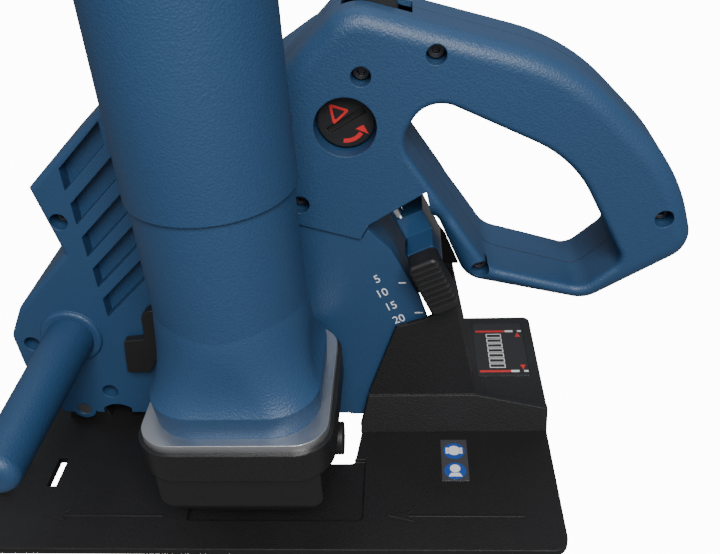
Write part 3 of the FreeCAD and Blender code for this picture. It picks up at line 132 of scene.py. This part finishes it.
def moulded_group():
    """Moulded or coated surface: fine grain, slow shade drift, dust and rubbed edges."""
    tree, come, go = new_group(
        "moulded_surface",
        [("Colour", "NodeSocketColor", (0.1, 0.1, 0.1, 1)),
         ("Worn colour", "NodeSocketColor", (0.3, 0.3, 0.3, 1)),
         ("Grain scale", "NodeSocketFloat", 1500.0), ("Grain depth", "NodeSocketFloat", 0.1),
         ("Roughness", "NodeSocketFloat", 0.45), ("Wear", "NodeSocketFloat", 0.3),
         ("Edge radius", "NodeSocketFloat", 0.0008), ("Seam place", "NodeSocketFloat", NO_SEAM)],
        [("Colour", "NodeSocketColor"), ("Roughness", "NodeSocketFloat"), ("Normal", "NodeSocketVector")])
    place = tree.nodes.new("ShaderNodeTexCoord").outputs["Object"]
    links = tree.links
    bevel = tree.nodes.new("ShaderNodeBevel")
    bevel.samples = 4
    links.new(come.outputs["Edge radius"], bevel.inputs["Radius"])
    facing = tree.nodes.new("ShaderNodeNewGeometry").outputs["Normal"]
    dot = tree.nodes.new("ShaderNodeVectorMath")
    dot.operation = "DOT_PRODUCT"
    links.new(bevel.outputs[0], dot.inputs[0])
    links.new(facing, dot.inputs[1])
    edge = ramp(tree, math_node(tree, "SUBTRACT", 1.0, dot.outputs["Value"]), 0.02, 0.22)
    patches = ramp(tree, noise(tree, place, 55.0, 6.0, 0.65), 0.42, 0.72)
    rubbed = math_node(tree, "MULTIPLY", math_node(tree, "MULTIPLY", edge, patches), come.outputs["Wear"])
    drift = noise(tree, place, 9.0, 3.0)
    shade = tree.nodes.new("ShaderNodeHueSaturation")
    links.new(come.outputs["Colour"], shade.inputs["Color"])
    links.new(math_node(tree, "ADD", math_node(tree, "MULTIPLY", drift, 0.16), 0.92), shade.inputs["Value"])
    grain_node = tree.nodes.new("ShaderNodeTexNoise")
    grain_node.inputs["Detail"].default_value = 2.0
    links.new(place, grain_node.inputs["Vector"])
    links.new(come.outputs["Grain scale"], grain_node.inputs["Scale"])
    grain = grain_node.outputs[0]
    speck = math_node(tree, "MULTIPLY", ramp(tree, grain, 0.35, 0.75), 0.10)
    tinted = mix_colour(tree, speck, shade.outputs[0], come.outputs["Worn colour"])
    across = tree.nodes.new("ShaderNodeSeparateXYZ")
    links.new(place, across.inputs[0])
    away = math_node(tree, "SUBTRACT", across.outputs["Y"], come.outputs["Seam place"])
    beside_seam = ramp(tree, math_node(tree, "ABSOLUTE", away, 0.0), 0.00012, 0.00034)
    open_seam = math_node(tree, "SUBTRACT", 1.0, beside_seam)
    worn = mix_colour(tree, rubbed, tinted, come.outputs["Worn colour"])
    links.new(mix_colour(tree, math_node(tree, "MULTIPLY", open_seam, 0.8), worn, (0.001, 0.003, 0.006, 1.0)),
              go.inputs["Colour"])
    smears = math_node(tree, "SUBTRACT", noise(tree, place, 30.0, 5.0), 0.5)
    rough = math_node(tree, "ADD", come.outputs["Roughness"], math_node(tree, "MULTIPLY", smears, 0.16))
    polish = math_node(tree, "MULTIPLY", rubbed, 0.12)
    links.new(math_node(tree, "SUBTRACT", rough, polish), go.inputs["Roughness"])
    bump = tree.nodes.new("ShaderNodeBump")
    bump.inputs["Distance"].default_value = 0.0004
    links.new(come.outputs["Grain depth"], bump.inputs["Strength"])
    height = math_node(tree, "SUBTRACT", grain, math_node(tree, "MULTIPLY", open_seam, 0.8))
    links.new(height, bump.inputs["Height"])
    links.new(bevel.outputs[0], bump.inputs["Normal"])
    links.new(bump.outputs[0], go.inputs["Normal"])
    return tree


def metal_group():
    """Turned or ground metal: fine lines, smudges and a soft edge."""
    tree, come, go = new_group(
        "worked_metal",
        [("Colour", "NodeSocketColor", (0.6, 0.6, 0.6, 1)),
         ("Line scale", "NodeSocketVector", (40.0, 1500.0, 1500.0)),
         ("Line depth", "NodeSocketFloat", 0.1), ("Roughness", "NodeSocketFloat", 0.25)],
        [("Colour", "NodeSocketColor"), ("Roughness", "NodeSocketFloat"), ("Normal", "NodeSocketVector")])
    place = tree.nodes.new("ShaderNodeTexCoord").outputs["Object"]
    links = tree.links
    stretch = tree.nodes.new("ShaderNodeVectorMath")
    stretch.operation = "MULTIPLY"
    links.new(place, stretch.inputs[0])
    links.new(come.outputs["Line scale"], stretch.inputs[1])
    lines = noise(tree, stretch.outputs[0], 1.0, 4.0)
    smudge = ramp(tree, noise(tree, place, 60.0, 6.0, 0.6), 0.3, 0.8)
    dark = tree.nodes.new("ShaderNodeHueSaturation")
    links.new(come.outputs["Colour"], dark.inputs["Color"])
    dulled = math_node(tree, "MULTIPLY", smudge, 0.22)
    links.new(math_node(tree, "SUBTRACT", 1.05, dulled), dark.inputs["Value"])
    links.new(dark.outputs[0], go.inputs["Colour"])
    rough = math_node(tree, "ADD", come.outputs["Roughness"], math_node(tree, "MULTIPLY", smudge, 0.18))
    links.new(math_node(tree, "ADD", rough, math_node(tree, "MULTIPLY", lines, 0.08)), go.inputs["Roughness"])
    bevel = tree.nodes.new("ShaderNodeBevel")
    bevel.samples = 4
    bevel.inputs["Radius"].default_value = 0.0005
    bump = tree.nodes.new("ShaderNodeBump")
    bump.inputs["Distance"].default_value = 0.0002
    links.new(come.outputs["Line depth"], bump.inputs["Strength"])
    links.new(lines, bump.inputs["Height"])
    links.new(bevel.outputs[0], bump.inputs["Normal"])
    links.new(bump.outputs[0], go.inputs["Normal"])
    return tree


MOULDED = moulded_group()
METAL = metal_group()


def material_with(name, tree_group, values, metallic, coat=0.0):
    material = bpy.data.materials.new(name)
    material.use_nodes = True
    tree = material.node_tree
    shader = tree.nodes["Principled BSDF"]
    node = tree.nodes.new("ShaderNodeGroup")
    node.node_tree = tree_group
    for key, value in values.items():
        node.inputs[key].default_value = value
    tree.links.new(node.outputs["Colour"], shader.inputs["Base Color"])
    tree.links.new(node.outputs["Roughness"], shader.inputs["Roughness"])
    tree.links.new(node.outputs["Normal"], shader.inputs["Normal"])
    shader.inputs["Metallic"].default_value = metallic
    shader.inputs["Coat Weight"].default_value = coat
    shader.inputs["Coat Roughness"].default_value = 0.12
    return material


def plastic(name, colour, worn, grain, depth, rough, wear, radius=0.0008, coat=0.0, seam=NO_SEAM):
    return material_with(name, MOULDED, {
        "Colour": colour + (1.0,), "Worn colour": worn + (1.0,), "Grain scale": grain, "Grain depth": depth,
        "Roughness": rough, "Wear": wear, "Edge radius": radius, "Seam place": seam}, 0.0, coat)


def metal(name, colour, lines, depth, rough):
    return material_with(name, METAL, {
        "Colour": colour + (1.0,), "Line scale": lines, "Line depth": depth, "Roughness": rough}, 1.0)


BLUE = (0.016, 0.055, 0.132)
SLOTS = {
    "blue_plastic": plastic("blue_plastic", BLUE, (0.05, 0.13, 0.23),
                            1100.0, 0.62, 0.46, 0.35, seam=PARTING_Y),
    "blue_gloss": plastic("blue_gloss", (0.015, 0.055, 0.135),
                          (0.06, 0.15, 0.26), 700.0, 0.03, 0.20, 0.3, coat=0.5),
    "black_plastic": plastic("black_plastic", (0.010, 0.010, 0.011),
                             (0.06, 0.06, 0.062), 2200.0, 0.22, 0.46, 0.4),
    "black_textured": plastic("black_textured", (0.008, 0.008, 0.009),
                              (0.05, 0.05, 0.052), 1100.0, 0.75, 0.55, 0.4),
    "base_coating": plastic("base_coating", (0.006, 0.0055, 0.006),
                            (0.05, 0.047, 0.045), 1300.0, 0.60, 0.52, 0.5),
    "case_coating": plastic("case_coating", (0.006, 0.006, 0.006),
                            (0.10, 0.10, 0.10), 1500.0, 0.28, 0.36, 0.5),
    "flange_alloy": metal("flange_alloy", (0.74, 0.75, 0.77), (900.0, 60.0, 900.0), 0.12, 0.28),
    "steel": metal("steel", (0.52, 0.53, 0.55), (900.0, 60.0, 900.0), 0.10, 0.24),
    "zinc_steel": metal("zinc_steel", (0.10, 0.10, 0.11), (300.0, 300.0, 300.0), 0.12, 0.36),
    "rod_chrome": metal("rod_chrome", (0.80, 0.81, 0.83), (500.0, 500.0, 30.0), 0.03, 0.06),
    "copper": metal("copper", (0.62, 0.27, 0.14), (200.0, 200.0, 900.0), 0.15, 0.34),
    "lamination": metal("lamination", (0.24, 0.24, 0.26), (60.0, 60.0, 2600.0), 0.35, 0.42),
    "carbon": plastic("carbon", (0.02, 0.02, 0.021), (0.09, 0.09, 0.09), 3000.0, 0.30, 0.60, 0.5),
    "brush_brass": metal("brush_brass", (0.66, 0.47, 0.20), (500.0, 500.0, 60.0), 0.12, 0.32),
    "gland_rubber": plastic("gland_rubber", (0.012, 0.012, 0.012),
                            (0.05, 0.05, 0.05), 1800.0, 0.35, 0.68, 0.3),
    "label_print": plastic("label_print", (0.012, 0.012, 0.013),
                           (0.07, 0.07, 0.07), 900.0, 0.05, 0.24, 0.2, coat=0.4),
    "sticker_print": plastic("sticker_print", (0.045, 0.048, 0.055),
                             (0.10, 0.10, 0.11), 900.0, 0.04, 0.30, 0.2),
    "potting": plastic("potting", (0.03, 0.05, 0.035), (0.10, 0.12, 0.10), 700.0, 0.20, 0.30, 0.3),
}
PRINT_WHITE = plastic("print_white", (0.78, 0.79, 0.80), (0.45, 0.45, 0.45), 1200.0, 0.05, 0.42, 0.2, 0.0001)
PRINT_RED = plastic("print_red", (0.62, 0.020, 0.022), (0.40, 0.10, 0.10), 1200.0, 0.05, 0.36, 0.2, 0.0001)
PRINT_BLUE = plastic("print_blue", (0.012, 0.065, 0.34), (0.10, 0.18, 0.40), 1200.0, 0.05, 0.34, 0.2, 0.0001)

for part in frame["record"]["subparts"]:
    node = NODES[part["node"]]
    for entry in node.material_slots:
        entry.material = SLOTS[part["material_slot"]]


# ---- camera, light and surroundings ---------------------------------------------------------
def aim(obj, place, target):
    obj.location = place
    obj.rotation_euler = (Vector(target) - Vector(place)).to_track_quat("-Z", "Y").to_euler()


def make_camera():
    data = bpy.data.cameras.new("main_camera")
    data.sensor_width = 36.0
    data.lens = LENS
    data.clip_start = 0.01
    obj = bpy.data.objects.new("main_camera", data)
    bpy.context.scene.collection.objects.link(obj)
    turn = Matrix((CAMERA_RIGHT, CAMERA_UP, CAMERA_BACK)).transposed().to_4x4()
    obj.matrix_world = Matrix.Translation(CAMERA_PLACE) @ turn
    bpy.context.scene.camera = obj


def area_light(name, place, target, size, power, colour=(1, 1, 1)):
    data = bpy.data.lights.new(name, "AREA")
    data.shape = "RECTANGLE"
    data.size, data.size_y = size
    data.energy = power
    data.color = colour
    obj = bpy.data.objects.new(name, data)
    bpy.context.scene.collection.objects.link(obj)
    aim(obj, place, target)


def surroundings():
    world = bpy.data.worlds.new("studio")
    world.use_nodes = True
    tree = world.node_tree
    soft = tree.nodes["Background"]
    soft.inputs["Color"].default_value = (0.80, 0.86, 0.95, 1)
    soft.inputs["Strength"].default_value = SKY_STRENGTH
    seen = tree.nodes.new("ShaderNodeBackground")
    seen.inputs["Color"].default_value = (1, 1, 1, 1)
    seen.inputs["Strength"].default_value = SEEN_SKY_STRENGTH
    path = tree.nodes.new("ShaderNodeLightPath")
    mix = tree.nodes.new("ShaderNodeMixShader")
    tree.links.new(path.outputs["Is Camera Ray"], mix.inputs[0])
    tree.links.new(soft.outputs[0], mix.inputs[1])
    tree.links.new(seen.outputs[0], mix.inputs[2])
    tree.links.new(mix.outputs[0], tree.nodes["World Output"].inputs["Surface"])
    bpy.context.scene.world = world


def pale_floor():
    """A wide pale sheet just under the sole, bright enough to leave only a faint shadow."""
    bpy.ops.object.select_all(action="DESELECT")
    bpy.ops.mesh.primitive_plane_add(size=12.0, location=(0.13, 0.0, FLOOR_Z))
    sheet = bpy.context.object
    sheet.name = "floor_sheet"
    material = bpy.data.materials.new("floor_paper")
    material.use_nodes = True
    shader = material.node_tree.nodes["Principled BSDF"]
    shader.inputs["Base Color"].default_value = (0.16, 0.16, 0.16, 1)
    shader.inputs["Roughness"].default_value = 0.9
    shader.inputs["Emission Color"].default_value = (1, 1, 1, 1)
    path = material.node_tree.nodes.new("ShaderNodeLightPath")
    glow = math_node(material.node_tree, "MULTIPLY", path.outputs["Is Camera Ray"], FLOOR_GLOW)
    material.node_tree.links.new(glow, shader.inputs["Emission Strength"])
    sheet.data.materials.append(material)


make_camera()
surroundings()
pale_floor()
area_light("key", (0.38, -0.95, 1.00), (0.13, -0.03, 0.12), (0.6, 0.6), 22.0, (1.0, 0.98, 0.95))
area_light("fill", (-0.65, -0.85, 0.75), (0.10, -0.04, 0.12), (0.8, 0.8), 0.8, (0.92, 0.96, 1.0))
area_light("top", (0.15, 0.35, 1.1), (0.13, 0.0, 0.1), (0.9, 0.5), 1.5)

# ---- modelling helpers ----------------------------------------------------------------------
def alone(obj):
    """Only obj is selected and active."""
    bpy.ops.object.select_all(action="DESELECT")
    obj.select_set(True)
    bpy.context.view_layer.objects.active = obj


def settle(obj, name, material, body):
    """Place goes into the mesh, and the piece rides on its body."""
    alone(obj)
    bpy.ops.object.transform_apply(location=True, rotation=True, scale=True)
    obj.name = name
    obj.data.name = name
    obj.data.materials.clear()
    obj.data.materials.append(material)
    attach(obj, body)
    return obj


def join(pieces):
    alone(pieces[0])
    for piece in pieces[1:]:
        piece.select_set(True)
    bpy.ops.object.join()
    return bpy.context.view_layer.objects.active


def apply_modifier(obj, kind, **values):
    alone(obj)
    modifier = obj.modifiers.new("finish", kind)
    for key, value in values.items():
        setattr(modifier, key, value)
    bpy.ops.object.modifier_apply(modifier=modifier.name)


def prism(points, thick, matrix):
    """A thin closed prism: points in the local XY plane, extruded along local +Z, then placed."""
    mesh = bpy.data.meshes.new("prism")
    shape = bmesh.new()
    base = shape.faces.new([shape.verts.new((a, b, 0)) for a, b in points])
    base.normal_update()
    if base.normal.z > 0:
        base.normal_flip()
    top = bmesh.ops.extrude_face_region(shape, geom=[base])
    raised = [v for v in top["geom"] if isinstance(v, bmesh.types.BMVert)]
    bmesh.ops.translate(shape, vec=(0, 0, thick), verts=raised)
    bmesh.ops.recalc_face_normals(shape, faces=shape.faces)
    shape.to_mesh(mesh)
    shape.free()
    mesh.transform(matrix)
    obj = bpy.data.objects.new("prism", mesh)
    bpy.context.scene.collection.objects.link(obj)
    return obj


def frame_strip(outer, inner, thick, matrix):
    """A closed flat frame between two outlines with the same number of points."""
    mesh = bpy.data.meshes.new("strip")
    shape = bmesh.new()
    count = len(outer)
    rings = [[shape.verts.new((a, b, z)) for a, b in path] for path in (outer, inner) for z in (0.0, thick)]
    for i in range(count):
        j = (i + 1) % count
        for low, high in ((0, 1), (1, 3), (3, 2), (2, 0)):
            shape.faces.new((rings[low][i], rings[low][j], rings[high][j], rings[high][i]))
    bmesh.ops.recalc_face_normals(shape, faces=shape.faces)
    shape.to_mesh(mesh)
    shape.free()
    mesh.transform(matrix)
    obj = bpy.data.objects.new("strip", mesh)
    bpy.context.scene.collection.objects.link(obj)
    return obj


def facing_near(x, y, z, turn=0.0):
    """Local X along X, local Y up, local Z towards -Y."""
    upright = Matrix.Rotation(math.pi / 2, 4, "X") @ Matrix.Rotation(turn, 4, "Z")
    return Matrix.Translation((x, y, z)) @ upright


def facing_up(z):
    return Matrix.Translation((0.0, 0.0, z))


def arc(cx, cy, r, a0, a1, count):
    return [(cx + r * math.cos(math.radians(a0 + (a1 - a0) * i / count)),
             cy + r * math.sin(math.radians(a0 + (a1 - a0) * i / count))) for i in range(count + 1)]


def number(text, size, matrix, thick):
    bpy.ops.object.select_all(action="DESELECT")
    bpy.ops.object.text_add()
    obj = bpy.context.object
    obj.data.body = text
    obj.data.size = size
    obj.data.extrude = thick / 2
    obj.data.align_x = "CENTER"
    obj.data.align_y = "CENTER"
    bpy.ops.object.convert(target="MESH")
    obj = bpy.context.object
    shape = bmesh.new()
    shape.from_mesh(obj.data)
    bmesh.ops.remove_doubles(shape, verts=shape.verts, dist=0.000002)
    bmesh.ops.recalc_face_normals(shape, faces=shape.faces)
    shape.to_mesh(obj.data)
    shape.free()
    obj.data.transform(matrix)
    return obj


def disc(cx, cy, r, count=40):
    return arc(cx, cy, r, 0.0, 360.0 - 360.0 / count, count - 1)


def between(a, b, share):
    return (a[0] + (b[0] - a[0]) * share, a[1] + (b[1] - a[1]) * share)


def mm(points):
    return [(a * 0.001, b * 0.001) for a, b in points]


def bar(x0, y0, x1, y1):
    return mm([(x0, y0), (x1, y0), (x1, y1), (x0, y1)])


def printed(name, outlines, place, material, body, thick=PRINT_T):
    """Flat print: one closed prism for each outline, joined into one piece."""
    piece = join([prism(outline, thick, place) for outline in outlines])
    return settle(piece, name, material, body)


# ---- groove depth scale on the guard face ---------------------------------------------------
def depth_scale():
    marks = (("5", 168.5, 98.7), ("10", 170.6, 90.2), ("15", 174.8, 82.2), ("20", 178.6, 74.0))
    pieces = []
    for text, x, z in marks:
        place = facing_near(x / 1000, GUARD_FACE_Y - 0.00002, z / 1000, math.radians(NUMBER_TILT))
        pieces.append(number(text, NUMBER_SIZE, place, 0.00016))
    settle(join(pieces), "depth_scale_numbers", PRINT_WHITE, "machine")
    ticks = [bar(179.0, 96.0, 182.6, 96.7), bar(186.6, 77.6, 190.8, 78.3)]
    place = facing_near(0.0, GUARD_FACE_Y + 0.00001, 0.0)
    printed("depth_scale_ticks", ticks, place, PRINT_WHITE, "machine")


# ---- print on the coin slot cap -------------------------------------------------------------
def cap_print():
    place = facing_near(CAP_CENTRE_X, CAP_FACE_Y + PRINT_SINK, CAP_CENTRE_Z)
    corners = ((-7.3, 8.3), (2.0, 4.9), (-5.8, -1.9))
    middle = (sum(p[0] for p in corners) / 3, sum(p[1] for p in corners) / 3)
    outer = []
    for k in range(3):
        for other in (corners[k - 1], corners[(k + 1) % 3]):
            outer.append(between(corners[k], other, 0.10))
    inner = [between(middle, point, 0.62) for point in outer]
    sign = frame_strip(mm(outer), mm(inner), PRINT_T, place)
    settle(sign, "cap_sign", PRINT_RED, "lock_cap")
    outside = arc(-0.5, -1.0, 9.6, -98.0, -36.0, 16)
    inside = arc(-0.5, -1.0, 7.6, -36.0, -98.0, 16)
    head = [(7.6, -2.2), (4.0, -4.0), (9.8, -6.6)]
    printed("cap_turn_arrow", [mm(outside + inside), mm(head)], place, PRINT_RED, "lock_cap")


# ---- groove width label ---------------------------------------------------------------------
def width_label():
    place = facing_up(LABEL_TOP_Z - PRINT_SINK)
    red = [bar(223.0, 16.3, 240.5, 18.0), bar(223.0, -20.5, 240.5, -18.8),
           mm([(246.2, 11.6), (249.4, 11.6), (247.8, 16.0)]),
           mm([(246.2, -14.2), (249.4, -14.2), (247.8, -18.6)])]
    white = [bar(240.7, 16.3, 245.4, 18.0), bar(248.0, 16.4, 250.4, 17.9),
             bar(240.7, -20.5, 245.4, -18.8), bar(248.0, -20.4, 250.4, -18.9)]
    printed("label_red_marks", red, place, PRINT_RED, "base")
    printed("label_white_marks", white, place, PRINT_WHITE, "base")
    frames = []
    for k in range(7):
        y = -16.6 + 4.6 * k
        outer = bar(229.0, y, 238.0, y + 3.6)
        inner = bar(229.5, y + 0.5, 237.5, y + 3.1)
        frames.append(frame_strip(outer, inner, PRINT_T, place))
    settle(join(frames), "label_disc_ladder", PRINT_WHITE, "base")


# ---- sticker with two plain round signs -----------------------------------------------------
def sticker_signs():
    x = (STICKER_LOW[0] + STICKER_HIGH[0]) * 500
    low = facing_up(STICKER_TOP_Z - 0.00004)
    high = facing_up(STICKER_TOP_Z + 0.00005)
    rounds = [mm(disc(x, y, 5.6)) for y in (-69.3, -83.2)]
    printed("sticker_rounds", rounds, low, PRINT_BLUE, "base")
    ears = [mm(disc(x, -69.0, 3.3)), bar(x - 4.4, -71.2, x - 3.0, -67.0), bar(x + 3.0, -71.2, x + 4.4, -67.0)]
    shoulders = mm([(x - 3.6, -87.0), (x + 3.6, -87.0), (x + 2.2, -84.6), (x - 2.2, -84.6)])
    mask = [mm(disc(x, -81.6, 2.7)), shoulders]
    printed("sticker_figures", ears + mask, high, PRINT_WHITE, "base")


# ---- raised arrows that show the direction of feed ------------------------------------------
def feed_arrows():
    place = facing_up(PLATE_TOP_Z - 0.0001)
    for name, tip, tail in (("feed_arrow_rear", 171.0, 238.0), ("feed_arrow_front", -2.0, 60.0)):
        outline = mm([(tip, -112.0), (tip + 14, -116.0), (tip + 11, -112.8), (tail, -112.8),
                      (tail, -111.2), (tip + 11, -111.2), (tip + 14, -108.0)])
        arrow = prism(outline, ARROW_HEIGHT, place)
        apply_modifier(arrow, "BEVEL", width=0.00018, segments=2, limit_method="ANGLE", angle_limit=0.9)
        settle(arrow, name, SLOTS["base_coating"], "base")


depth_scale()
cap_print()
width_label()
sticker_signs()
feed_arrows()
